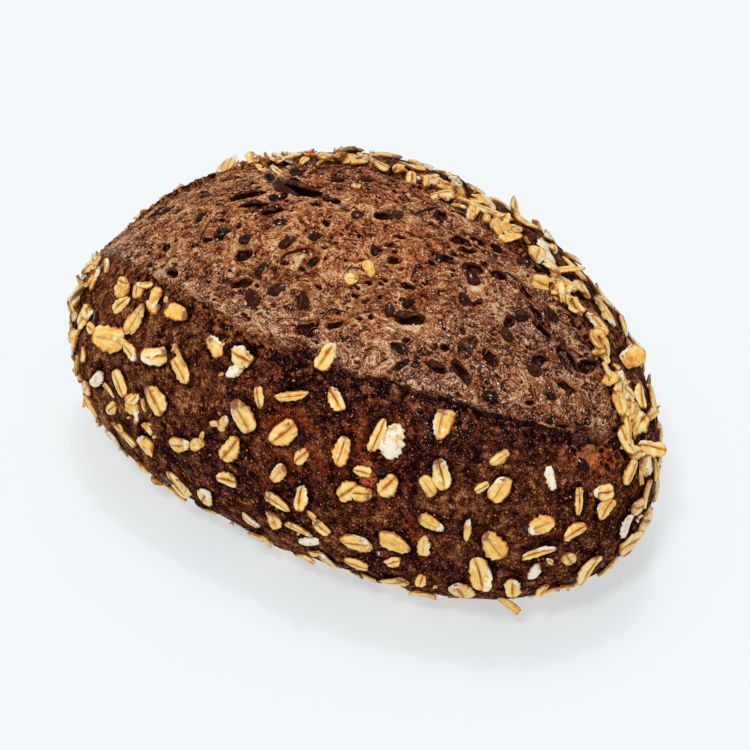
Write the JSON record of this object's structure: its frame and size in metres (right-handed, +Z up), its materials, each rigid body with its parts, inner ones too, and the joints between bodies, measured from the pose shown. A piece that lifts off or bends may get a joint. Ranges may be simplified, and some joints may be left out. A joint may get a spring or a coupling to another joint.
{
  "type": "sourdough bread",
  "caption": "Whole dark wholegrain sourdough loaf, oval with a flat base, opened along the top by a wide slash and covered in rolled oats.",
  "frame": {"origin": "on the plane of the base, under the middle of the loaf's box", "axes": "+X along the loaf, +Y across it, +Z up from the base; the slash leans towards -Y"},
  "size_m": [0.1947, 0.1388, 0.0936],
  "materials": {
    "crust": "dark brown baked skin, fine golden bran specks, satin in places",
    "crumb": "rough opened crumb of the slash, lighter brown with pale grains",
    "oats": "matt toasted rolled oats, cream to golden with a brown crease",
    "seeds": "near-black glossy linseeds"
  },
  "bodies": {
    "root": {"loaf": "crust"}
  },
  "joints": []
}
